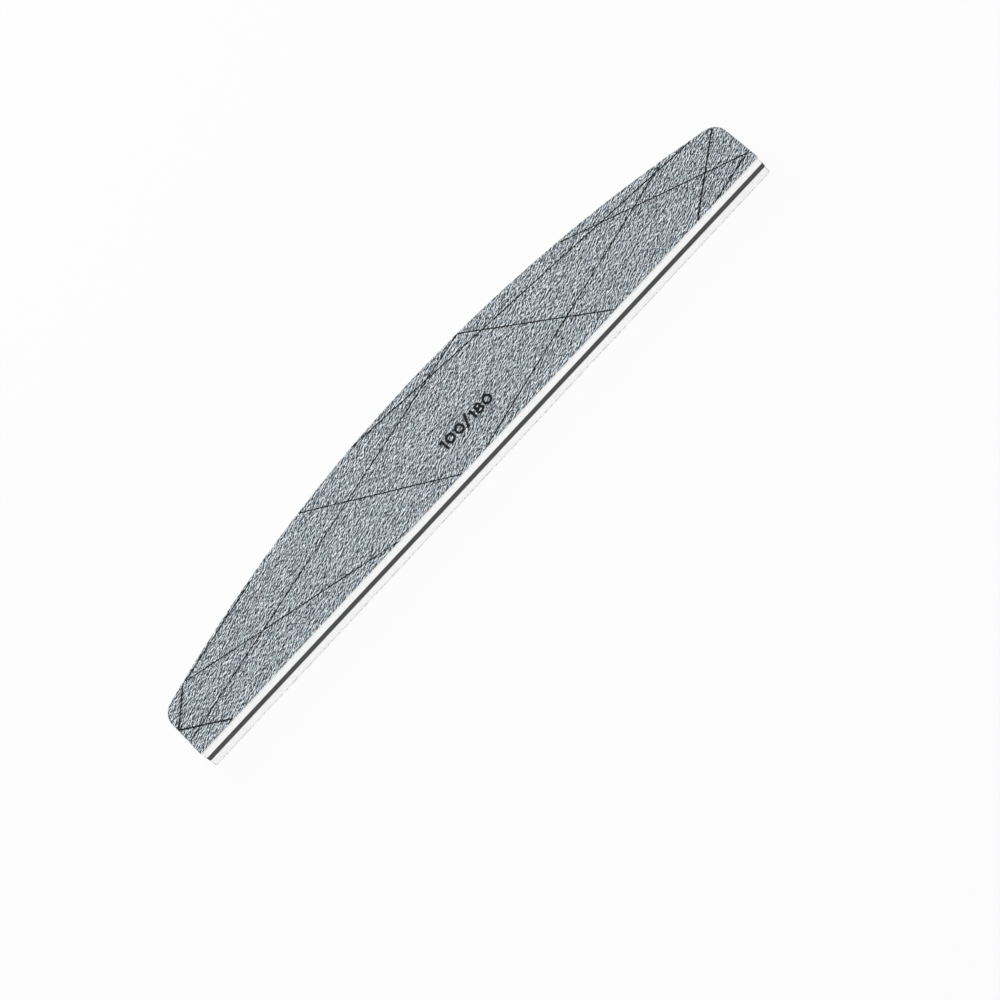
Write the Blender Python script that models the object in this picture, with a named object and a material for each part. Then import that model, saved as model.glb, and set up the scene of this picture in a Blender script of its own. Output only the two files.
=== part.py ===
"""Half-moon cushioned nail file, built up from die-cut layers.

A hard strip runs through the middle. A foam pad is bonded to each side of it, and an abrasive sheet,
which is a backing paper with a coat of grit on it, is bonded over each pad: coarse grit on the upper
face and fine grit on the lower one. One die cuts the whole stack, so every layer has the same
outline: a straight filing edge, a wide arc opposite, and square ends with a rounded corner where
they meet the arc.

Metres, +Z up. The file lies on its fine face, with the origin on that face under the middle of the
outline. Its length runs along X, and the straight edge is at -Y.
"""

import math

import bpy

MM = 0.001

# The outline that the die cuts. The end width is taken to where the arc, carried on without its
# rounded corner, would meet the end.
FILE_LENGTH = 178 * MM
FILE_WIDTH = 28 * MM
END_WIDTH = 14.8 * MM
ARC_CORNER_RADIUS = 4.3 * MM
STRAIGHT_CORNER_RADIUS = 0.5 * MM

# How thick each layer is
CORE_THICKNESS = 1.5 * MM
FOAM_THICKNESS = 2.1 * MM
ADHESIVE_THICKNESS = 0.1 * MM
PAPER_THICKNESS = 0.3 * MM
COARSE_COAT_THICKNESS = 0.3 * MM
FINE_COAT_THICKNESS = 0.2 * MM

# What keeps two bonded faces from sharing one plane
BOND_CLEARANCE = 0.01 * MM

# Straight pieces in each round stretch of the outline
ARC_STEPS = 36
ARC_CORNER_STEPS = 8
STRAIGHT_CORNER_STEPS = 3

# Material name: sRGB colour, roughness
FINISHES = {
    "coarse_grit": ((0.58, 0.61, 0.63), 0.85),
    "fine_grit": ((0.62, 0.65, 0.67), 0.8),
    "backing_paper": ((0.95, 0.95, 0.94), 0.9),
    "adhesive_film": ((0.9, 0.9, 0.86), 0.35),
    "foam": ((0.95, 0.95, 0.95), 0.75),
    "core_plastic": ((0.29, 0.29, 0.29), 0.5),
}

# Node name, thickness and material of every layer, in the order that they are laid up from the bottom
LAYERS = [
    ("fine_grit_coat", FINE_COAT_THICKNESS, "fine_grit"),
    ("lower_backing_paper", PAPER_THICKNESS, "backing_paper"),
    ("lower_sheet_adhesive", ADHESIVE_THICKNESS, "adhesive_film"),
    ("lower_foam_pad", FOAM_THICKNESS, "foam"),
    ("lower_core_adhesive", ADHESIVE_THICKNESS, "adhesive_film"),
    ("core_strip", CORE_THICKNESS, "core_plastic"),
    ("upper_core_adhesive", ADHESIVE_THICKNESS, "adhesive_film"),
    ("upper_foam_pad", FOAM_THICKNESS, "foam"),
    ("upper_sheet_adhesive", ADHESIVE_THICKNESS, "adhesive_film"),
    ("upper_backing_paper", PAPER_THICKNESS, "backing_paper"),
    ("coarse_grit_coat", COARSE_COAT_THICKNESS, "coarse_grit"),
]


def clear_scene():
    """Removes whatever the scene opened with."""
    for obj in list(bpy.data.objects):
        bpy.data.objects.remove(obj, do_unlink=True)


def linear(srgb):
    """One sRGB channel as the linear value that a shader takes."""
    return srgb / 12.92 if srgb <= 0.04045 else ((srgb + 0.055) / 1.055) ** 2.4


def make_materials():
    """One Principled material for each finish. No layer of the file is metal."""
    materials = {}
    for name, (colour, roughness) in FINISHES.items():
        material = bpy.data.materials.new(name)
        material.use_nodes = True
        shader = material.node_tree.nodes["Principled BSDF"]
        shader.inputs["Base Color"].default_value = [*map(linear, colour), 1]
        shader.inputs["Roughness"].default_value = roughness
        shader.inputs["Metallic"].default_value = 0
        materials[name] = material
    return materials


def arc(centre, radius, start, end, steps):
    """Points along an arc from one angle to another, with both ends."""
    angles = [start + (end - start) * step / steps for step in range(steps + 1)]
    x, y = centre
    return [(x + radius * math.cos(a), y + radius * math.sin(a)) for a in angles]


def die_outline():
    """The die's outline, anticlockwise from the right-hand end of the straight edge."""
    half_length = FILE_LENGTH / 2
    half_width = FILE_WIDTH / 2

    # The wide arc passes through its crown, in the middle, and the tops of both ends.
    rise = FILE_WIDTH - END_WIDTH
    arc_radius = (half_length**2 + rise**2) / (2 * rise)
    arc_centre_y = half_width - arc_radius

    # A rounded corner touches the end and, from inside, the wide arc, where its own centre lies on
    # the line from the wide arc's centre.
    corner_x = half_length - ARC_CORNER_RADIUS
    corner_y = arc_centre_y + math.sqrt((arc_radius - ARC_CORNER_RADIUS) ** 2 - corner_x**2)
    touch_angle = math.atan2(corner_y - arc_centre_y, corner_x)

    low_corner = (half_length - STRAIGHT_CORNER_RADIUS, STRAIGHT_CORNER_RADIUS - half_width)
    right_end = arc(low_corner, STRAIGHT_CORNER_RADIUS, -math.pi / 2, 0, STRAIGHT_CORNER_STEPS)
    right_end += arc((corner_x, corner_y), ARC_CORNER_RADIUS, 0, touch_angle, ARC_CORNER_STEPS)
    crown = arc((0, arc_centre_y), arc_radius, touch_angle, math.pi - touch_angle, ARC_STEPS)
    left_end = [(-x, y) for x, y in reversed(right_end)]
    return right_end + crown[1:-1] + left_end


def die_cut(name, outline, thickness, material):
    """A flat layer with the die's outline: a filled 2D curve, extruded both ways from its middle."""
    curve = bpy.data.curves.new(name, "CURVE")
    curve.dimensions = "2D"
    curve.fill_mode = "BOTH"
    curve.extrude = thickness / 2
    spline = curve.splines.new("POLY")
    spline.points.add(len(outline) - 1)
    for point, (x, y) in zip(spline.points, outline):
        point.co = (x, y, 0, 1)
    spline.use_cyclic_u = True
    curve.materials.append(material)
    return bpy.data.objects.new(name, curve)


def lay_up(materials, collection):
    """Lays each layer on the one below it, and returns the height of the finished stack."""
    handle = bpy.data.objects.new("nail_file", None)
    collection.objects.link(handle)
    outline = die_outline()
    bottom = 0
    for name, thickness, material in LAYERS:
        layer = die_cut(name, outline, thickness, materials[material])
        layer.location.z = bottom + thickness / 2
        layer.parent = handle
        collection.objects.link(layer)
        top = bottom + thickness
        bottom = top + BOND_CLEARANCE
    return top


def main():
    clear_scene()
    collection = bpy.data.collections.new("half_moon_nail_file")
    bpy.context.scene.collection.children.link(collection)
    height = lay_up(make_materials(), collection)
    print(f"laid up {len(LAYERS)} layers, {height / MM:.2f} mm thick")


main()
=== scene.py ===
# %% [markdown]
# # A half-moon nail file, layer by layer
#
# A cushioned nail file is a sandwich. A stiff plastic strip in the middle keeps it straight, a pad of
# white foam on each side lets it follow the curve of a nail, and a sheet of abrasive on each face does
# the work. A die then cuts the whole sandwich in one stroke, so all the layers share one outline.
#
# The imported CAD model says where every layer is. Each step below takes one layer, looks at what the
# real one is and how it was made, and gives it the shape and finish that a camera would see.

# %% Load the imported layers
import math
import random

import bpy
import numpy as np
from mathutils import Matrix, Vector, geometry, noise
from mathutils.bvhtree import BVHTree


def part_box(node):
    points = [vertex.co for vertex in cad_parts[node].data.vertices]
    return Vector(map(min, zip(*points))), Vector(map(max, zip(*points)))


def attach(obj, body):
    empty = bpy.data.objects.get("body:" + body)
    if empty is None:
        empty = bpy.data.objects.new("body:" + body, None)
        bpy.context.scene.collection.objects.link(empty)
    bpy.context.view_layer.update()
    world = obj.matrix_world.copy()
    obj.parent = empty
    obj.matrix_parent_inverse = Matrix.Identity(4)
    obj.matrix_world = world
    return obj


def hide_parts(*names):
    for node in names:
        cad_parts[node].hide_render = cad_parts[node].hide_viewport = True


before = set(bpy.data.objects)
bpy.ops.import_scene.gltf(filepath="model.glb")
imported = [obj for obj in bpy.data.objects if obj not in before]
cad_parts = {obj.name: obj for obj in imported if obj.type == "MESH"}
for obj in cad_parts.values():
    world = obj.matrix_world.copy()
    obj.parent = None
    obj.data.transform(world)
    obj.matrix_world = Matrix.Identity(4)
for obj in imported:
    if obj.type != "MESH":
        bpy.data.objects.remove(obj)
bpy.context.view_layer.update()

# %% [markdown]
# ## A few small tools
#
# Paint makers and photographs give colours as sRGB hex codes, but a shader counts light, so each code
# has to be turned into linear values. One function does that for the whole file.
#
# A finish is a tree of nodes. The second function adds one node: its settings by name, and for each
# socket either a value or the output of another node, which it links. The last two start a finish and
# end it, since every finish here starts from the place of a point and ends in a surface.

# %% Colours and nodes
MM = 0.001
# A mix node uses the same names for each kind of data, so its sockets for colours go by number
MIX_SHARE, MIX_FIRST, MIX_SECOND, MIXED = 0, 6, 7, 2


def paint(hex_code):
    """An sRGB hex colour as the linear red, green, blue and alpha that a shader takes."""
    channels = [int(hex_code[at : at + 2], 16) / 255 for at in (1, 3, 5)]
    light = [c / 12.92 if c <= 0.04045 else ((c + 0.055) / 1.055) ** 2.4 for c in channels]
    return (*light, 1)


def add(tree, kind, sockets=None, stops=(), **settings):
    """Adds a node. A socket takes a value or a link, a ramp takes stops of place and colour or grey."""
    node = tree.nodes.new(kind)
    for name, value in settings.items():
        setattr(node, name, value)
    for socket, value in (sockets or {}).items():
        if isinstance(value, bpy.types.NodeSocket):
            tree.links.new(value, node.inputs[socket])
        else:
            node.inputs[socket].default_value = value
    for place, _ in stops[1:-1]:  # a new ramp has its two ends already
        node.color_ramp.elements.new(place)
    for number, (place, colour) in enumerate(stops):
        stop = node.color_ramp.elements[number]
        stop.position = place
        stop.color = colour if isinstance(colour, tuple) else (colour, colour, colour, 1)
    return node


def bare_finish(name):
    """A material with no nodes yet, its tree, and the place of each point in metres."""
    material = bpy.data.materials.new(name)
    material.use_nodes = True
    tree = material.node_tree
    tree.nodes.clear()
    place = add(tree, "ShaderNodeTexCoord").outputs["Object"]
    return material, tree, place


def finished(material, surface):
    """A material with the surface that these sockets describe."""
    tree = material.node_tree
    shader = add(tree, "ShaderNodeBsdfPrincipled", surface)
    add(tree, "ShaderNodeOutputMaterial", {"Surface": shader.outputs["BSDF"]})
    print(f"{material.name}: {len(tree.nodes)} nodes")
    return material


print("mid grey in linear light:", round(paint("#808080")[0], 3))

# %% [markdown]
# ## The die's outline
#
# The die is a steel rule bent to the outline: a straight filing edge, a wide arc opposite, square ends
# and rounded corners. It doesn't have to be drawn again, because the corners of any CAD layer lie on
# it. The shape is convex, so putting those corners in order of their angle about a spot inside it
# walks round it once.

# %% Read the outline from the core strip
CORNER_DIGITS = 7  # corners closer than a ten-thousandth of a millimetre are one
INSIDE_SPOT = (0, -2 * MM)
SIDES_PART_Y = -13 * MM  # corners below it are the straight side's


def die_corners(layer):
    """The outline's corners in order, anticlockwise from above."""
    middle_x, middle_y = INSIDE_SPOT
    corners = {
        (round(v.co.x, CORNER_DIGITS), round(v.co.y, CORNER_DIGITS))
        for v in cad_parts[layer].data.vertices
    }
    return np.array(sorted(corners, key=lambda c: math.atan2(c[1] - middle_y, c[0] - middle_x)))


def left_to_right(corners):
    """Corners in order along the file."""
    return corners[np.argsort(corners[:, 0])]


def walk(corners, step):
    """Points at even steps round the outline, and the direction that faces out of the file at each."""
    closed = np.vstack([corners, corners[:1]])
    travelled = np.concatenate([[0], np.cumsum(np.hypot(*np.diff(closed, axis=0).T))])
    count = round(travelled[-1] / step)
    stations = np.arange(count) * travelled[-1] / count
    line = np.column_stack([np.interp(stations, travelled, closed[:, k]) for k in (0, 1)])
    along = np.roll(line, -1, axis=0) - np.roll(line, 1, axis=0)
    along /= np.hypot(*along.T)[:, None]
    return line, np.column_stack([along[:, 1], -along[:, 0]])


DIE = die_corners("core_strip")
STRAIGHT_SIDE = left_to_right(DIE[DIE[:, 1] < SIDES_PART_Y])
ARCHED_SIDE = left_to_right(DIE[DIE[:, 1] > SIDES_PART_Y])
print(f"{len(DIE)} corners, {len(walk(DIE, MM)[0])} mm round")

# %% [markdown]
# ## Turning points into a layer
#
# Every layer ends the same way: its points and faces become a mesh, the mesh becomes a piece that
# rides with the file, and the piece stands for its CAD layer. The walls of a cut layer are rings of
# points, one above the other, with a lid on the first and last ring, so the mesh is closed.

# %% Make a piece, and a cut wall
def make_piece(name, points, faces, finish, layer=None):
    """A mesh piece that rides with the file. One that is a whole layer stands for the CAD's."""
    mesh = bpy.data.meshes.new(name)
    mesh.from_pydata([tuple(p) for p in points], [], faces)
    mesh.materials.append(finish)
    piece = bpy.data.objects.new(name, mesh)
    bpy.context.scene.collection.objects.link(piece)
    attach(piece, "root")
    if layer:
        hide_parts(layer)
    print(f"{name}: {len(points)} points")
    return piece


def ring_walls(count, rings):
    """Faces between rings of count points each, numbered from the lowest ring up."""
    faces = []
    for ring in range(rings - 1):
        low, high = ring * count, (ring + 1) * count
        for k in range(count):
            after = (k + 1) % count
            faces.append((low + k, low + after, high + after, high + k))
    return faces


def cut_layer(name, layer, step, rows, inset, finish):
    """A die-cut layer. inset(x, y, z, up) says how far inside the die's line a point of its wall is."""
    low, high = (corner.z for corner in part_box(layer))
    line, outward = walk(DIE, step)
    count = len(line)
    points = []
    for row in range(rows + 1):
        up = row / rows
        z = low + (high - low) * up
        depth = np.array([inset(x, y, z, up) for x, y in line])
        ring = line - outward * depth[:, None]
        points.append(np.column_stack([ring, np.full(count, z)]))
    faces = ring_walls(count, rows + 1)
    faces.append(tuple(reversed(range(count))))
    faces.append(tuple(range(rows * count, (rows + 1) * count)))
    return make_piece(name, np.vstack(points), faces, finish, layer)


# %% [markdown]
# ## The abrasive's relief
#
# The abrasive sheet is paper with a coat of mineral grains in resin. On a file like this one the sheet
# is embossed too, so its face looks like fine leather: small humps, longer along the file than across
# it, with creases between them. Blender's noise gives such a height at any point, and three sizes of
# it are added. The smallest is about as fine as the picture can show, and grains are finer still.
#
# A regular grid of points would show as rows in the light, so the points are scattered instead and
# joined by Delaunay triangulation, which leaves small facets that catch the light as crystals do.
#
# The last thing on the sheet is zinc stearate, a white soap that keeps filings from clogging it. A
# roller wipes it on. Each point of the mesh notes how far its relief faces the relief light, and the
# finish paints that side of each hump with painted light and the other side with painted shade.

# %% The relief's height, and its painted light and shade
INK_FILM = 0.03 * MM  # left free above the highest hump, for the print
STREAK_TILT = math.radians(20)  # the humps' long direction, from the file's
COARSE_WAVES = [  # length and breadth of the humps, and how strong they are
    (1.4 * MM, 0.76 * MM, 0.4),
    (0.8 * MM, 0.4 * MM, 1.3),
    (0.4 * MM, 0.25 * MM, 1.8),
]
FINE_WAVES = [(1.2 * MM, 0.8 * MM, 1.2), (0.6 * MM, 0.45 * MM, 1.4), (0.36 * MM, 0.3 * MM, 1.2)]
NOISE_LEVEL = 9  # each wave cuts the noise at this times its strength, so that no two look alike
TOWARD_RELIEF_LIGHT = Vector((-0.014, 0.1)) * MM  # towards the relief light: the side of a hump that gets painted light
LIGHT_TO_SHADE_EDGE = 2  # how suddenly painted light turns to painted shade


def swell(x, y, waves):
    """The sum of the waves at a point: below 0 in a crease, above 0 on a hump."""
    along = x * math.cos(STREAK_TILT) + y * math.sin(STREAK_TILT)
    across = y * math.cos(STREAK_TILT) - x * math.sin(STREAK_TILT)
    total = 0
    for length, breadth, strength in waves:
        spot = Vector((along / length, across / breadth, NOISE_LEVEL * strength))
        total += strength * noise.noise(spot)
    return total


def height(x, y, waves):
    """Height of the relief, from 0 in the deepest crease to 1 on the highest hump."""
    return 0.5 + 0.5 * math.tanh(swell(x, y, waves))


def sidelight_share(x, y, waves):
    """Painted light at a point, 0 in painted shade to 1: most where the relief faces the relief light.
    """
    ahead = swell(x + TOWARD_RELIEF_LIGHT.x, y + TOWARD_RELIEF_LIGHT.y, waves)
    behind = swell(x - TOWARD_RELIEF_LIGHT.x, y - TOWARD_RELIEF_LIGHT.y, waves)
    return 0.5 - 0.5 * math.tanh(LIGHT_TO_SHADE_EDGE * (ahead - behind))


print(f"at the coarse face's middle the relief stands at {height(0, 0, COARSE_WAVES):.0%}")

# %% Scatter points over the die's outline
STRAY_SHARE = 0.45  # of a step: how far a point strays from its place in a grid
MARGIN_SHARE = 0.8  # of a step: how far inside the outline the first points lie


def scattered(step, rng):
    """Points inside the outline, about a step apart but in no rows."""
    inside = []
    left, bottom = DIE.min(axis=0)
    right, top = DIE.max(axis=0)
    for x0 in np.arange(left + step, right, step):
        for y0 in np.arange(bottom, top, step):
            x = x0 + rng.uniform(-STRAY_SHARE, STRAY_SHARE) * step
            y = y0 + rng.uniform(-STRAY_SHARE, STRAY_SHARE) * step
            low = np.interp(x, STRAIGHT_SIDE[:, 0], STRAIGHT_SIDE[:, 1]) + MARGIN_SHARE * step
            high = np.interp(x, ARCHED_SIDE[:, 0], ARCHED_SIDE[:, 1]) - MARGIN_SHARE * step
            if low < y < high and abs(x) < right - MARGIN_SHARE * step:
                inside.append((x, y))
    return inside


print(f"at steps of 1 mm, {len(scattered(MM, random.Random(1)))} points would lie inside the rim")

# %% Join them into a sheet
NIBBLE = 0.4 * MM  # how long the chips are that the die breaks off the rim
PRESSED_SHARE = 0.4  # how much of its relief the rim keeps under the die
FILL_OUTLINE = 1  # asks the triangulation for the triangles inside the outline alone
SAME_SPOT = 1e-9  # points closer than this many metres are one


def grit_sheet(name, layer, step, waves, fray, depth, cut_dust, finish, rng, face_up):
    """An abrasive sheet: a faceted relief on its face, a frayed cut edge, and a flat back."""
    low, high = (corner.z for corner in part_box(layer))
    face, back = (high, low) if face_up else (low, high)
    into = -1 if face_up else 1

    # The rim comes first, so that its points keep the lowest numbers
    line, outward = walk(DIE, step)
    count = len(line)
    nibbled = [fray * abs(noise.noise(Vector((x / NIBBLE, y / NIBBLE, 1)))) for x, y in line]
    rim = line - outward * np.array(nibbled)[:, None]
    spots = [Vector(p) for p in rim] + [Vector(p) for p in scattered(step, rng)]
    edges = [(k, (k + 1) % count) for k in range(count)]
    spots, _, triangles, *_ = geometry.delaunay_2d_cdt(spots, edges, [], FILL_OUTLINE, SAME_SPOT)

    heights = [height(p.x, p.y, waves) for p in spots]
    heights[:count] = [0.5 + PRESSED_SHARE * (h - 0.5) for h in heights[:count]]
    # painted light and shade: how far each point faces the relief light
    painted_sidelight = [sidelight_share(p.x, p.y, waves) for p in spots]
    points = [(p.x, p.y, face + into * (INK_FILM + depth * (1 - h))) for p, h in zip(spots, heights)]

    # A skirt joins the rim to the flat back
    first = len(points)
    points += [(x, y, back) for x, y in line]
    skirt = [(first + k, first + (k + 1) % count, (k + 1) % count, k) for k in range(count)]
    lid = tuple(reversed(range(first, first + count)))
    faces = [tuple(t) for t in triangles] + skirt + [lid]
    if not face_up:
        faces = [tuple(reversed(f)) for f in faces]
    piece = make_piece(name, points, faces, finish, layer)
    for quality, values, at_cut in (("relief", heights, 0.5), ("sidelight_share", painted_sidelight, cut_dust)):
        noted = piece.data.attributes.new(quality, "FLOAT", "POINT")
        noted.data.foreach_set("value", [at_cut] * count + values[count:] + [at_cut] * count)
    return piece


# %% [markdown]
# ## Finish: silicon carbide with a stearate coat
#
# The grey is black silicon carbide grain held in resin, under the powdery white stearate. To the eye
# that is a lively mid grey with a speckle of grains and a few glints. Its pale and dark are painted
# light and shade: pale on the side of each hump that faces the relief light, dark on the other side.
#
# The finest wrinkles of the embossing are too small for the mesh, so the finish paints their light
# and shade. It looks up a stretched noise at two places a little apart. Where the noise rises from
# one to the other the spot gets painted light, and where it falls, painted shade.
#
# A grain of 0.16 mm is smaller than a pixel of the picture and would blur to plain grey, so the cells
# that stand for grains are drawn as small clumps, 0.5 mm long and 0.2 mm wide. A spot also gets
# painted shade deep in a crease, and the powder is a little thicker in some places than in others.

# %% The grit's wrinkles and grains
WRINKLE_TILT = math.radians(26)  # the wrinkles' long direction, from the file's
WRINKLE_REACH = 0.07 * MM  # how far to each side of a spot its slope is looked up
WRINKLE_DEPTH = 5 * MM  # so deep that a face lies in one layer of them
STEEPEST = 0.13  # how much the noise rises between the two places on the steepest side
FACES_OFF_LEVEL = -2 * MM  # keeps both faces off the noise's regular levels, which show as a grid


def measured_in(tree, place, size, tilt, shift=0):
    """A place counted in steps of a mark's size, for marks that lie at a tilt to the file."""
    return add(
        tree,
        "ShaderNodeMapping",
        {
            "Vector": place,
            "Location": (0, shift, FACES_OFF_LEVEL),
            "Rotation": (0, 0, tilt),
            "Scale": size,
        },
        vector_type="TEXTURE",
    ).outputs["Vector"]


def painted_wrinkle_light(tree, place, wrinkle, darkest, palest):
    """Painted light and shade: how light a spot is for the side of a wrinkle that it is on."""
    sides = []
    for shift in (-WRINKLE_REACH, WRINKLE_REACH):
        spot = measured_in(tree, place, (*wrinkle, WRINKLE_DEPTH), WRINKLE_TILT, shift)
        fold = add(tree, "ShaderNodeTexNoise", {"Vector": spot, "Scale": 1.0, "Detail": 0.0})
        sides.append(fold.outputs["Fac"])
    slope = add(tree, "ShaderNodeMath", {0: sides[0], 1: sides[1]}, operation="SUBTRACT")
    return add(
        tree,
        "ShaderNodeMapRange",
        {
            "Value": slope.outputs["Value"],
            "From Min": -STEEPEST,
            "From Max": STEEPEST,
            "To Min": darkest,
            "To Max": palest,
        },
    ).outputs["Result"]


def grain_cells(tree, place, grain):
    """How far a spot is from the middle of its grain, and two chances that each grain has."""
    counted = measured_in(tree, place, grain, STREAK_TILT)
    cells = add(tree, "ShaderNodeTexVoronoi", {"Vector": counted, "Scale": 1.0})
    chances = add(tree, "ShaderNodeSeparateColor", {"Color": cells.outputs["Color"]})
    return cells.outputs["Distance"], chances.outputs["Red"], chances.outputs["Green"]


# %% The grit finish
WHITEST = paint("#F6FCFF")  # no powder sends back more of the light than this
CLOUD = 1.3 * MM  # the size of the places where the roller pressed less
DRIFT = 6 * MM  # the distance over which the grey turns from bluish to purplish
CHIP_DEPTH = 0.05 * MM  # how far a grain's rim stands out past its middle


def stearated_silicon_carbide(name, grain, wrinkle, painted_sidelight, crease_shades, shades, wrinkle_light_range, glint, bump):
    """Streaked and speckled grit, with painted light and shade on its humps, wrinkles and creases."""
    material, tree, place = bare_finish(name)
    relief = add(tree, "ShaderNodeAttribute", attribute_name="relief").outputs["Fac"]
    # painted light and shade: each hump is pale on the side facing the relief light, dark on the other
    lit_side = add(tree, "ShaderNodeAttribute", attribute_name="sidelight_share").outputs["Fac"]
    colour = add(tree, "ShaderNodeValToRGB", {"Fac": lit_side}, painted_sidelight)
    from_middle, shade_chance, glint_chance = grain_cells(tree, place, grain)

    # How light each spot is: by its grain, painted shade in creases, painted wrinkle light and shade,
    # clouds
    # painted shade: darker the deeper a spot lies in a crease
    crease = add(tree, "ShaderNodeValToRGB", {"Fac": relief}, crease_shades)
    clouds = add(tree, "ShaderNodeTexNoise", {"Vector": place, "Scale": 1 / CLOUD, "Detail": 2})
    cloud = add(
        tree,
        "ShaderNodeMapRange",
        {
            "Value": clouds.outputs["Fac"],
            "From Min": 0.3,
            "From Max": 0.7,
            "To Min": 0.95,
            "To Max": 1.08,
        },
    )
    # painted light and shade on each side of a wrinkle
    wrinkle_light = painted_wrinkle_light(tree, place, wrinkle, *wrinkle_light_range)
    light = add(tree, "ShaderNodeValToRGB", {"Fac": shade_chance}, shades).outputs["Color"]
    for share in (crease.outputs["Color"], wrinkle_light, cloud.outputs["Result"]):
        product = add(tree, "ShaderNodeMath", {0: light, 1: share}, operation="MULTIPLY")
        light = product.outputs["Value"]

    # A drift from bluish to purplish grey
    drift = add(tree, "ShaderNodeTexNoise", {"Vector": place, "Scale": 1 / DRIFT, "Detail": 2})
    cast = add(
        tree,
        "ShaderNodeValToRGB",
        {"Fac": drift.outputs["Fac"]},
        [(0.38, paint("#FAFFFF")), (0.62, paint("#FFFCFF"))],
    )
    tinted = add(
        tree,
        "ShaderNodeMix",
        {MIX_SHARE: 1.0, MIX_FIRST: colour.outputs["Color"], MIX_SECOND: cast.outputs["Color"]},
        data_type="RGBA",
        blend_type="MULTIPLY",
    )
    shaded = add(
        tree,
        "ShaderNodeVectorMath",
        {0: tinted.outputs[MIXED], "Scale": light},
        operation="SCALE",
    )
    limited = add(
        tree,
        "ShaderNodeVectorMath",
        {0: shaded.outputs["Vector"], 1: WHITEST[:3]},
        operation="MINIMUM",
    )

    gloss = add(tree, "ShaderNodeValToRGB", {"Fac": glint_chance}, glint)
    swollen = add(tree, "ShaderNodeBump", {"Height": relief, "Distance": bump, "Strength": 1.0})
    chips = add(
        tree,
        "ShaderNodeBump",
        {
            "Height": from_middle,
            "Normal": swollen.outputs["Normal"],
            "Distance": CHIP_DEPTH,
            "Strength": 0.5,
        },
    )
    surface = {
        "Base Color": limited.outputs["Vector"],
        "Roughness": gloss.outputs["Color"],
        "Normal": chips.outputs["Normal"],
        "Metallic": 0.0,
        "Specular IOR Level": 0.35,
        "IOR": 1.55,
    }
    return finished(material, surface)


# %% [markdown]
# ## The coarse face
#
# This is what the photograph shows most of. Its highest grains stop 0.03 mm below the top of the CAD
# layer, which leaves the print its room, and its creases reach nearly to the paper. Along its cut
# edge grain and resin are bare, which shows as a thin dark line.

# %% Build the coarse sheet
COARSE_DEPTH = 0.25 * MM
COARSE_FINISH = stearated_silicon_carbide(
    "silicon_carbide_100_stearated",
    grain=(0.5 * MM, 0.2 * MM, 0.3 * MM),
    wrinkle=(0.95 * MM, 0.33 * MM),
    # The greys run from painted shade to painted light; creases get painted shade, wrinkles both.
    painted_sidelight=[(0.0, paint("#4C5359")), (0.5, paint("#A5AFB7")), (1.0, paint("#DCE2E6"))],
    crease_shades=[(0.0, 0.8), (0.3, 1.0), (1.0, 1.05)],
    shades=[(0.0, 0.25), (0.3, 0.82), (0.7, 1.25), (1.0, 1.6)],
    wrinkle_light_range=(0.03, 2.5),
    glint=[(0.0, 0.35), (0.2, 0.6), (1.0, 0.9)],
    bump=0.2 * MM,
)
coarse_sheet = grit_sheet(
    "coarse_grit_relief",
    "coarse_grit_coat",
    step=0.215 * MM,
    waves=COARSE_WAVES,
    fray=0.3 * MM,
    depth=COARSE_DEPTH,
    cut_dust=0.16,
    finish=COARSE_FINISH,
    rng=random.Random(100),
    face_up=True,
)

# %% [markdown]
# ## The fine face
#
# The lower face is 180 grit. Its sheet is made the same way, with a shallower relief and smaller
# grains, and it faces down. White dust of the cut foam clings to its edge, which shows paler.

# %% Build the fine sheet
FINE_FINISH = stearated_silicon_carbide(
    "silicon_carbide_180_stearated",
    grain=(0.3 * MM, 0.18 * MM, 0.2 * MM),
    wrinkle=(0.8 * MM, 0.3 * MM),
    # The greys run from painted shade to painted light; creases get painted shade, wrinkles both.
    painted_sidelight=[(0.0, paint("#4A5156")), (0.5, paint("#9AA3A9")), (1.0, paint("#DADDDF"))],
    crease_shades=[(0.0, 0.85), (0.3, 1.0), (1.0, 1.05)],
    shades=[(0.0, 0.62), (0.25, 0.85), (0.7, 1.13), (1.0, 1.6)],
    wrinkle_light_range=(0.6, 1.4),
    glint=[(0.0, 0.4), (0.2, 0.65), (1.0, 0.9)],
    bump=0.1 * MM,
)
grit_sheet(
    "fine_grit_relief",
    "fine_grit_coat",
    step=0.25 * MM,
    waves=FINE_WAVES,
    fray=0.08 * MM,
    depth=0.15 * MM,
    cut_dust=0.9,
    finish=FINE_FINISH,
    rng=random.Random(180),
    face_up=False,
)

# %% [markdown]
# ## Finish: white EVA foam
#
# The pads are closed-cell EVA, the foam of yoga mats and shoe soles. It is white all through, and
# where the die went through it the cut cells show as tiny dimples, 0.1 to 0.3 mm across, with painted
# shade towards the middle of each. The skin between cells is slightly satin.

# %% Foam finish
PORE = 0.2 * MM
PORE_DEPTH = 0.06 * MM
DUST_PATCH = 2 * MM  # the size of the places where foam dust clings


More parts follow.
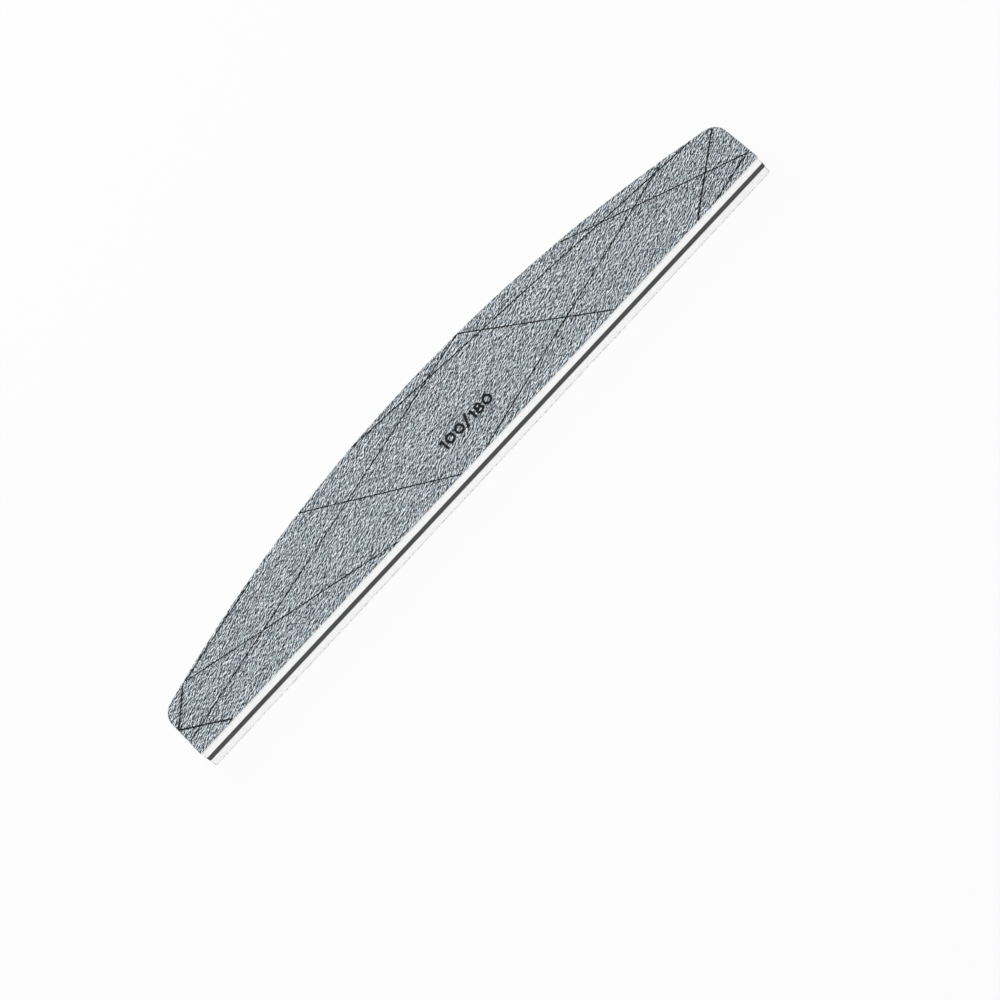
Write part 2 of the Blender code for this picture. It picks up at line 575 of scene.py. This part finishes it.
def cut_eva_foam():
    """White foam with cut cells, each with painted shade towards its middle."""
    material, tree, place = bare_finish("eva_foam_die_cut")
    pores = add(tree, "ShaderNodeTexVoronoi", {"Vector": place, "Scale": 1 / PORE})
    # painted shade: each cut cell darker towards its middle, where its dimple is deepest
    wall = add(
        tree,
        "ShaderNodeValToRGB",
        {"Fac": pores.outputs["Distance"]},
        [(0.0, paint("#DBDBDB")), (0.45, paint("#F5F5F5"))],
    )
    patches = add(tree, "ShaderNodeTexNoise", {"Vector": place, "Scale": 1 / DUST_PATCH, "Detail": 3})
    dust = add(
        tree,
        "ShaderNodeValToRGB",
        {"Fac": patches.outputs["Fac"]},
        [(0.3, paint("#FAFAFA")), (0.7, paint("#FFFFFF"))],
    )
    colour = add(
        tree,
        "ShaderNodeMix",
        {MIX_SHARE: 1.0, MIX_FIRST: wall.outputs["Color"], MIX_SECOND: dust.outputs["Color"]},
        data_type="RGBA",
        blend_type="MULTIPLY",
    )
    dimples = add(
        tree,
        "ShaderNodeBump",
        {"Height": pores.outputs["Distance"], "Distance": PORE_DEPTH, "Strength": 0.7},
    )
    surface = {
        "Base Color": colour.outputs[MIXED],
        "Roughness": 0.7,
        "Normal": dimples.outputs["Normal"],
        "IOR": 1.45,
    }
    return finished(material, surface)


FOAM_FINISH = cut_eva_foam()

# %% [markdown]
# ## The two foam pads
#
# Under the die the foam is squeezed before it is cut, and it springs back afterwards, so a cut pad is
# a little narrower at mid height than at its bonded faces. Its wall is built from rings of points with
# that waist, and some points go in further, where a cell was cut open.

# %% Build the foam pads
FOAM_WAIST = 0.12 * MM
CELL = 0.22 * MM
CELL_DEPTH = 0.07 * MM
WHOLE_CELL = 0.05  # where the noise is below this, no cell was cut open
NOISE_PEAK = 0.5  # about the highest that the noise reaches
BONDED_FADE = 6  # the cells fade over a sixth of the pad's height at each bonded face


def foam_wall(x, y, z, up):
    """How far in the foam's wall is: the waist, and the cut cells, which fade at the bonded faces."""
    waist = FOAM_WAIST * 4 * up * (1 - up)  # a parabola, which is deepest at mid height
    cell = noise.noise(Vector((x / CELL, y / CELL, z / CELL)))
    shown = min(1, BONDED_FADE * up, BONDED_FADE * (1 - up))
    return waist + shown * CELL_DEPTH * max(0, cell - WHOLE_CELL) / NOISE_PEAK


for side in ("lower", "upper"):
    pad = cut_layer(
        f"{side}_foam_cushion",
        f"{side}_foam_pad",
        step=0.16 * MM,
        rows=13,
        inset=foam_wall,
        finish=FOAM_FINISH,
    )

# %% [markdown]
# ## The core strip
#
# The strip that keeps the file straight is high-impact polystyrene sheet, extruded in dark grey. To
# the eye the sheared edge is a dark satin band, with faint upright scores from nicks in the die, and
# its upper corner is slightly rolled over where the blade entered.

# %% Core finish
SCORE_SPACING = 0.35 * MM
SCORE_SQUEEZE = 0.08  # upward, which draws the scores out to upright streaks
SCORE_DEPTH = 0.03 * MM


def sheared_polystyrene():
    """Dark grey polystyrene with the scores of a die."""
    material, tree, place = bare_finish("high_impact_polystyrene_sheared")
    squeezed = add(tree, "ShaderNodeMapping", {"Vector": place, "Scale": (1, 1, SCORE_SQUEEZE)})
    scores = add(
        tree,
        "ShaderNodeTexNoise",
        {"Vector": squeezed.outputs["Vector"], "Scale": 1 / SCORE_SPACING, "Detail": 3},
    ).outputs["Fac"]
    tone = add(
        tree,
        "ShaderNodeValToRGB",
        {"Fac": scores},
        [(0.3, paint("#232323")), (0.7, paint("#2C2C2C"))],
    )
    satin = add(tree, "ShaderNodeValToRGB", {"Fac": scores}, [(0.3, 0.42), (0.7, 0.6)])
    drag = add(
        tree, "ShaderNodeBump", {"Height": scores, "Distance": SCORE_DEPTH, "Strength": 0.5}
    )
    surface = {
        "Base Color": tone.outputs["Color"],
        "Roughness": satin.outputs["Color"],
        "Normal": drag.outputs["Normal"],
        "Specular IOR Level": 0.35,
        "IOR": 1.59,
    }
    return finished(material, surface)


CORE_FINISH = sheared_polystyrene()

# %% Build the core strip
ROLL_OVER = 0.04 * MM
ROLLED_SHARE = 0.2  # of the strip's thickness, at the top
BREAK = ROLL_OVER / 2
BROKEN_SHARE = 0.12  # of the strip's thickness, at the bottom
NICK = 0.6 * MM  # how long a nick in the die is
NICK_DEPTH = 0.01 * MM


def core_wall(x, y, z, up):
    """How far in the core's wall is: rolled over at the top, broken off at the bottom, and scored."""
    rolled = ROLL_OVER * max(0, (up - (1 - ROLLED_SHARE)) / ROLLED_SHARE) ** 2
    broken = BREAK * max(0, (BROKEN_SHARE - up) / BROKEN_SHARE)
    scored = NICK_DEPTH * abs(noise.noise(Vector((x / NICK, y / NICK, NOISE_LEVEL))))
    return rolled + broken + scored


cut_layer(
    "core_board",
    "core_strip",
    step=0.25 * MM,
    rows=10,
    inset=core_wall,
    finish=CORE_FINISH,
)

# %% [markdown]
# ## The backing papers
#
# Each abrasive sheet is carried by latex paper, 0.3 mm thick. A die cuts paper cleanly but not
# smoothly: short fibres stand out of the edge. To the eye it is a matt white line between the grit
# and the foam, set back a little, because the squeezed foam springs out past it.

# %% Paper finish
FIBRE = 0.5 * MM
FIBRE_LAYERS = 6  # how many fibres lie on each other in a fibre's length
FUZZ = 0.04 * MM


def latex_paper():
    """Matt white paper with fibres at its cut edge."""
    material, tree, place = bare_finish("latex_paper_die_cut")
    laid = add(tree, "ShaderNodeMapping", {"Vector": place, "Scale": (1, 1, FIBRE_LAYERS)})
    fibres = add(
        tree,
        "ShaderNodeTexNoise",
        {"Vector": laid.outputs["Vector"], "Scale": 1 / FIBRE, "Detail": 4},
    ).outputs["Fac"]
    tone = add(
        tree,
        "ShaderNodeValToRGB",
        {"Fac": fibres},
        [(0.3, paint("#F3F3F2")), (0.6, paint("#FCFCFB"))],
    )
    fuzz = add(tree, "ShaderNodeBump", {"Height": fibres, "Distance": FUZZ, "Strength": 0.6})
    surface = {
        "Base Color": tone.outputs["Color"],
        "Roughness": 0.9,
        "Normal": fuzz.outputs["Normal"],
        "IOR": 1.5,
    }
    return finished(material, surface)


PAPER_FINISH = latex_paper()

# %% Build the papers
PAPER_SETBACK = 0.08 * MM
TUFT = (0.3 * MM, 0.3 * MM, 0.1 * MM)  # the size of a tuft of fibres
TUFT_DEPTH = 0.05 * MM


def paper_wall(x, y, z, up):
    """How far in the paper's wall is, tuft by tuft."""
    spot = Vector((x / TUFT[0], y / TUFT[1], z / TUFT[2]))
    return PAPER_SETBACK + TUFT_DEPTH * abs(noise.noise(spot))


for side in ("lower", "upper"):
    cut_layer(
        f"{side}_paper_sheet",
        f"{side}_backing_paper",
        step=0.22 * MM,
        rows=3,
        inset=paper_wall,
        finish=PAPER_FINISH,
    )

# %% [markdown]
# ## The adhesive films
#
# Four films of acrylic adhesive bond the stack, each a tenth of a millimetre thick. Their CAD layers
# already have the right shape, so they stay and only get a finish. The adhesive is clear and takes on
# what is behind it: to the eye it is a white hairline on paper, and a grey one on the dark core.

# %% Adhesive finish
FLOW_MARK = 1.2 * MM  # the size of the places where the film is thicker


def acrylic_adhesive(name, thin, thick):
    """A clear adhesive that looks like what is behind it, in two tones for where it is thin or thick."""
    material, tree, place = bare_finish(name)
    flow = add(
        tree, "ShaderNodeTexNoise", {"Vector": place, "Scale": 1 / FLOW_MARK, "Detail": 2}
    ).outputs["Fac"]
    tone = add(
        tree, "ShaderNodeValToRGB", {"Fac": flow}, [(0.3, paint(thick)), (0.7, paint(thin))]
    )
    shine = add(tree, "ShaderNodeValToRGB", {"Fac": flow}, [(0.3, 0.3), (0.7, 0.5)])
    surface = {
        "Base Color": tone.outputs["Color"],
        "Roughness": shine.outputs["Color"],
        "IOR": 1.47,
    }
    return finished(material, surface)


ON_PAPER = acrylic_adhesive("acrylic_adhesive_on_paper", "#F2F2EF", "#EAEAE6")
ON_CORE = acrylic_adhesive("acrylic_adhesive_on_core", "#8F8E8A", "#7E7D79")
for layer, finish in (
    ("lower_sheet_adhesive", ON_PAPER),
    ("lower_core_adhesive", ON_CORE),
    ("upper_core_adhesive", ON_CORE),
    ("upper_sheet_adhesive", ON_PAPER),
):
    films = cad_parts[layer].data.materials
    films.clear()
    films.append(finish)
    print(f"{layer}: {finish.name}")

# %% [markdown]
# ## Printing on grit
#
# Thin black lines cross the coarse face, and near its middle stands the file's grit number. Both are
# screen printed in solvent ink, which the eye sees as a soft black. The ink lies on the grains and
# misses the deepest creases, so a thin line breaks up. A texture could paint them, but ink has an edge
# and a thickness, so here each stroke is a flat bar. It is laid on the relief by dropping its points
# on to the sheet, and it is left out where the crease below is too deep for the ink to reach.

# %% Ink
SOAK_SPOT = 0.4 * MM  # the size of the places where the ink soaked in


def screen_ink():
    """Black solvent ink, matt where it soaked in and satin on the grains."""
    material, tree, place = bare_finish("black_screen_ink")
    soak = add(
        tree, "ShaderNodeTexNoise", {"Vector": place, "Scale": 1 / SOAK_SPOT, "Detail": 3}
    ).outputs["Fac"]
    tone = add(
        tree,
        "ShaderNodeValToRGB",
        {"Fac": soak},
        [(0.35, paint("#060607")), (0.7, paint("#131415"))],
    )
    satin = add(tree, "ShaderNodeValToRGB", {"Fac": soak}, [(0.3, 0.5), (0.7, 0.8)])
    surface = {
        "Base Color": tone.outputs["Color"],
        "Roughness": satin.outputs["Color"],
        "Specular IOR Level": 0.12,
        "IOR": 1.5,
    }
    return finished(material, surface)


INK = screen_ink()

# %% Where ink comes to rest
COARSE_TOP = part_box("coarse_grit_coat")[1].z
CUT_EDGE_DEPTH = 1.2 * COARSE_DEPTH  # deeper than any crease: what lies there is the cut edge
FROM_ABOVE = 1  # a metre up, clear of everything
SHEET = BVHTree.FromPolygons(
    [v.co for v in coarse_sheet.data.vertices], [tuple(p.vertices) for p in coarse_sheet.data.polygons]
)
# The spots that a squeegee bridges: one in the middle, and two rings of six round it
SQUEEGEE = [(0, 0)] + [
    (reach * math.cos(sixth * math.pi / 3), reach * math.sin(sixth * math.pi / 3))
    for reach in (0.5, 1)
    for sixth in range(6)
]


def drop(x, y, spread):
    """Where ink comes to rest: as high as the highest spot of the sheet within spread. None off it."""
    spots = []
    for dx, dy in SQUEEGEE:
        start = Vector((x + dx * spread, y + dy * spread, FROM_ABOVE))
        spots.append(SHEET.ray_cast(start, Vector((0, 0, -1)))[0])
    below = spots[0]
    if below is None or below.z < COARSE_TOP - CUT_EDGE_DEPTH:
        return None
    return Vector((x, y, max(spot.z for spot in spots if spot is not None)))


resting = drop(0, 0, spread=0.1 * MM)
print(f"ink rests {(COARSE_TOP - resting.z) / MM:.2f} mm below the top at the middle of the file")

# %% How a stroke is laid
STROKE_STEP = 0.1 * MM
BULGE_SHARE = 0.25  # of a stroke's width: how much it comes and goes
BULGE = 0.5 * MM  # the distance over which it does


def even_steps(path, step):
    """A path of few points as many points at even steps."""
    path = np.array(path, float)
    travelled = np.concatenate([[0], np.cumsum(np.hypot(*np.diff(path, axis=0).T))])
    stations = np.linspace(0, travelled[-1], max(2, round(travelled[-1] / step) + 1))
    return np.column_stack([np.interp(stations, travelled, path[:, k]) for k in (0, 1)])


def close_run(run, lanes, points, faces):
    """Makes an unbroken run of ink into a closed flat bar: its top a film above the grains."""
    if len(run) < 2:
        return
    first = len(points)
    for drops in run:
        points.extend((d.x, d.y, min(d.z + INK_FILM, COARSE_TOP)) for d in drops)
        points.extend((d.x, d.y, d.z - 2 * INK_FILM) for d in reversed(drops))
    loop = 2 * lanes
    for station in range(len(run) - 1):
        here = first + station * loop
        for k in range(loop):
            after = (k + 1) % loop
            faces.append((here + k, here + k + loop, here + after + loop, here + after))
    last = first + (len(run) - 1) * loop
    faces.append(tuple(range(first, first + loop)))
    faces.append(tuple(reversed(range(last, last + loop))))


def lay_stroke(path, width, lanes, reach, spread, points, faces):
    """Adds a stroke, with lanes points side by side. It misses creases deeper than reach."""
    line = even_steps(path, STROKE_STEP)
    along = np.gradient(line, axis=0)
    along /= np.hypot(*along.T)[:, None]
    across = np.column_stack([-along[:, 1], along[:, 0]])
    run = []
    for spot, aside in zip(line, across):
        full = 1 + BULGE_SHARE * noise.noise(Vector((*spot, 0)) / BULGE)
        places = [spot + aside * width * full * (lane / (lanes - 1) - 0.5) for lane in range(lanes)]
        drops = [drop(*p, spread) for p in places]
        if None not in drops and drops[lanes // 2].z > COARSE_TOP - reach:
            run.append(drops)
        else:
            close_run(run, lanes, points, faces)
            run = []
    close_run(run, lanes, points, faces)


# %% [markdown]
# ## The crossing lines
#
# The lines are a common crackle pattern: straight, thin, and crossing at random. Each is given by its
# two ends in millimetres, its width, and how deep the ink reaches. The first one turns a corner.

# %% Lay the lines
HAIRLINES = [
    # ends along and across the file in mm, width in mm, reach into the relief in mm
    ([(-81.5, 2.4), (-88.8, -5.2), (-78.3, -14)], 0.36, 0.3),
    ([(87.4, 0.5), (69.6, -14.1)], 0.36, 0.3),
    ([(-80.3, 2.7), (-25.5, -14)], 0.25, 0.26),
    ([(-88.7, -9.6), (17.3, 13.7)], 0.23, 0.25),
    ([(-36.7, 11.8), (-5.6, -14)], 0.26, 0.25),
    ([(-18.5, 13.4), (81.8, 2.5)], 0.26, 0.25),
    ([(16.2, 13.7), (43.5, -14)], 0.28, 0.26),
    ([(1.4, -14.1), (73.3, 4)], 0.25, 0.25),
    ([(46.7, 9.8), (88.2, -11.2)], 0.26, 0.27),
    ([(74.9, -14), (88.6, -11)], 0.28, 0.26),
    ([(-80.3, 2.85), (-54.5, 8.5)], 0.26, 0.28),
]
HAIRLINE_LANES = 3
HAIRLINE_SPREAD = 0.08 * MM
points, faces = [], []
for ends, width, reach in HAIRLINES:
    path = [(x * MM, y * MM) for x, y in ends]
    lay_stroke(path, width * MM, HAIRLINE_LANES, reach * MM, HAIRLINE_SPREAD, points, faces)
make_piece("hairline_print", points, faces, INK)

# %% [markdown]
# ## The grit number
#
# "100/180" tells which grit is on which face. Its digits are round and plain, so a few ellipses and
# bars are enough to write them.

# %% Write the number
NUMBER_LANES = 5
NUMBER_SPREAD = 0.45 * MM
NUMBER_REACH = COARSE_DEPTH + INK_FILM
STROKE = 0.6 * MM
NUMBER_MIDDLE_Y = -5.04 * MM
DIGIT_MIDDLES = (-3.45, -1.5, 1.36, 3.65, 5.76, 7.58, 10.2)  # mm along the file
DIGIT_RISE = 1.13 * MM  # from a digit's middle to the middle of its top stroke
ZERO_HALF = 0.96 * MM  # half the width of a 0
EIGHT_RINGS = [  # how high each ring of an 8 lies above its middle, and half its width and height
    (0.53 * DIGIT_RISE, 0.63 * MM, 0.49 * DIGIT_RISE),
    (-0.47 * DIGIT_RISE, 0.8 * MM, 0.55 * DIGIT_RISE),
]
FLAG = 0.8 * MM  # how far the flag of a 1 reaches back
FLAG_FOOT = 0.62 * DIGIT_RISE  # how high the flag ends above the digit's middle
SLASH_LEAN = 0.8 * MM  # how far the slash's ends lie to each side
SLASH_RISE = 1.6 * DIGIT_RISE
ELLIPSE_STEPS = 40


def ellipse(x, y, across, up):
    """A closed ellipse as a path, with its first step taken twice so that the ring closes."""
    turns = [2 * math.pi * k / ELLIPSE_STEPS for k in range(ELLIPSE_STEPS + 2)]
    return [(x + across * math.cos(t), y + up * math.sin(t)) for t in turns]


def digit_strokes(digit, x):
    """The paths that write a digit, with its middle at x."""
    y, rise = NUMBER_MIDDLE_Y, DIGIT_RISE
    if digit == "0":
        return [ellipse(x, y, ZERO_HALF, rise)]
    if digit == "8":
        return [ellipse(x, y + above, across, tall) for above, across, tall in EIGHT_RINGS]
    if digit == "1":
        stem = [(x, y - rise - STROKE / 2), (x, y + rise + STROKE / 2)]
        return [stem, [(x - FLAG, y + FLAG_FOOT), (x, y + rise)]]
    return [[(x - SLASH_LEAN, y - SLASH_RISE), (x + SLASH_LEAN, y + SLASH_RISE)]]


points, faces = [], []
for digit, x in zip("100/180", DIGIT_MIDDLES):
    for path in digit_strokes(digit, x * MM):
        lay_stroke(path, STROKE, NUMBER_LANES, NUMBER_REACH, NUMBER_SPREAD, points, faces)
make_piece("grit_number", points, faces, INK)

# %% [markdown]
# ## The studio
#
# The file lies on a white floor. The floor has to be white in the picture but still show the file's
# shadow, so what the camera sees of it is mostly plain white with some of its real shading mixed in.
# The same goes for the world around it, which lights the file evenly.

# %% White for the camera
WHITE = (1, 1, 1, 1)


def seen_directly(tree, white, share, otherwise):
    """A share of white where the camera, a reflection or glass looks, and otherwise what gives light."""
    path = add(tree, "ShaderNodeLightPath").outputs
    seen = path["Is Camera Ray"]
    for ray in ("Is Glossy Ray", "Is Transmission Ray"):
        either = add(tree, "ShaderNodeMath", {0: seen, 1: path[ray]}, operation="MAXIMUM")
        seen = either.outputs["Value"]
    white_share = add(tree, "ShaderNodeMath", {0: seen, 1: share}, operation="MULTIPLY")
    return add(
        tree,
        "ShaderNodeMixShader",
        {0: white_share.outputs["Value"], 1: otherwise, 2: white},
    ).outputs["Shader"]


# %% Floor
FLOOR_SHARE = 0.94  # how much of the floor's look is plain white
FLOOR_HALF = 1.5  # half the floor's width, in metres
FLOOR_GAP = 0.01 * MM  # keeps the floor clear of the lowest grains

floor_finish, floor_tree, _ = bare_finish("white_studio_floor")
matt = add(floor_tree, "ShaderNodeBsdfDiffuse", {"Color": paint("#DEDEDE")}).outputs["BSDF"]
glow = add(floor_tree, "ShaderNodeEmission", {"Color": WHITE, "Strength": 1.0}).outputs["Emission"]
shown = seen_directly(floor_tree, glow, FLOOR_SHARE, matt)
add(floor_tree, "ShaderNodeOutputMaterial", {"Surface": shown})

floor_mesh = bpy.data.meshes.new("studio_floor")
floor_corners = [(x * FLOOR_HALF, y * FLOOR_HALF, 0) for x, y in ((-1, -1), (1, -1), (1, 1), (-1, 1))]
floor_mesh.from_pydata(floor_corners, [], [(0, 1, 2, 3)])
floor_mesh.materials.append(floor_finish)
floor = bpy.data.objects.new("studio_floor", floor_mesh)
floor.location.z = -FLOOR_GAP
bpy.context.scene.collection.objects.link(floor)
print(f"the floor is {2 * FLOOR_HALF:.0f} m wide")

# %% World
SKY_SHARE = 0.32  # how much of the light on the top face comes from all round

world = bpy.data.worlds.new("studio")
world.use_nodes = True
world.node_tree.nodes.clear()
bpy.context.scene.world = world
sky = add(world.node_tree, "ShaderNodeBackground", {"Color": WHITE, "Strength": SKY_SHARE})
backdrop = add(world.node_tree, "ShaderNodeBackground", {"Color": WHITE, "Strength": 1.0})
shown = seen_directly(
    world.node_tree, backdrop.outputs["Background"], 1.0, sky.outputs["Background"]
)
add(world.node_tree, "ShaderNodeOutputWorld", {"Surface": shown})
print(f"the sky gives the top face {SKY_SHARE:.0%} of its light")

# %% [markdown]
# ## The lamps
#
# A relief only shows when light comes from one side. One soft box stands behind the arched edge, low
# enough to throw the creases into shade, and another hangs overhead. A lamp in front would fill the
# creases again, so the straight edge is lit by a long card on the floor, lower than the file is
# thick, and none of its light falls on the top face. Each lamp gives a face a share of full light. On
# each face the shares, with the sky's, come to about 1, so that a colour renders about as it is
# written.

# %% Soft boxes
LAMP_DISTANCE = 0.6  # metres
TOP_FACE = (0, 0, 1)  # the way that the top face looks
STRAIGHT_EDGE = (0, -1, 0)  # the way that the straight edge looks


def soft_box(name, azimuth, elevation, wide, tall, share, onto):
    """A flat lamp, at degrees from behind the arched edge and up, for a face that looks along onto."""
    turn, lift = math.radians(azimuth), math.radians(elevation)
    toward = Vector(
        (math.sin(turn) * math.cos(lift), math.cos(turn) * math.cos(lift), math.sin(lift))
    )
    lamp = bpy.data.lights.new(name, "AREA")
    lamp.shape = "RECTANGLE"
    lamp.size = wide
    lamp.size_y = tall
    # A small lamp of pi squared watts lights a face square on and a metre away with full light
    lamp.energy = share * (math.pi * LAMP_DISTANCE) ** 2 / toward.dot(Vector(onto))
    box = bpy.data.objects.new(name, lamp)
    box.location = toward * LAMP_DISTANCE
    box.rotation_euler = toward.to_track_quat("Z", "Y").to_euler()
    box.visible_camera = False
    bpy.context.scene.collection.objects.link(box)
    print(f"{name}: {lamp.energy:.1f} W")


soft_box("relief_light", -8, 32, wide=0.3, tall=0.3, share=0.32, onto=TOP_FACE)
soft_box("top_light", 0, 89, wide=0.5, tall=0.5, share=0.36, onto=TOP_FACE)
soft_box("edge_card", 180, 0.35, wide=0.6, tall=0.006, share=0.65, onto=STRAIGHT_EDGE)

# %% [markdown]
# ## The camera
#
# The file lies flat, and a camera with a long lens looks down on its straight edge. Its place was
# found by fitting the file's outline to the one in the photograph: 53.6 degrees above the table, a
# metre away, and rolled so that the file runs up to the right.

# %% Camera
ELEVATION = 53.64
ROLL = 47.0
DISTANCE = 1.0514
AIM = Vector((-4.01 * MM, -26.45 * MM, 7.3 * MM))
LENS = 175  # mm, as lenses are sold
SENSOR = 36

lift, roll = math.radians(ELEVATION), math.radians(ROLL)
back = Vector((0, -math.cos(lift), math.sin(lift)))
level = Vector((1, 0, 0))
upright = back.cross(level)
right = level * math.cos(roll) - upright * math.sin(roll)
up = level * math.sin(roll) + upright * math.cos(roll)
lens = bpy.data.cameras.new("photo_camera")
lens.lens = LENS
lens.sensor_width = SENSOR
camera = bpy.data.objects.new("photo_camera", lens)
turned = Matrix((right, up, back)).transposed().to_4x4()
camera.matrix_world = Matrix.Translation(AIM + back * DISTANCE) @ turned
bpy.context.scene.collection.objects.link(camera)
bpy.context.scene.camera = camera
bpy.context.scene.view_settings.view_transform = "Standard"
print(f"the camera stands {camera.location.z:.2f} m above the table")
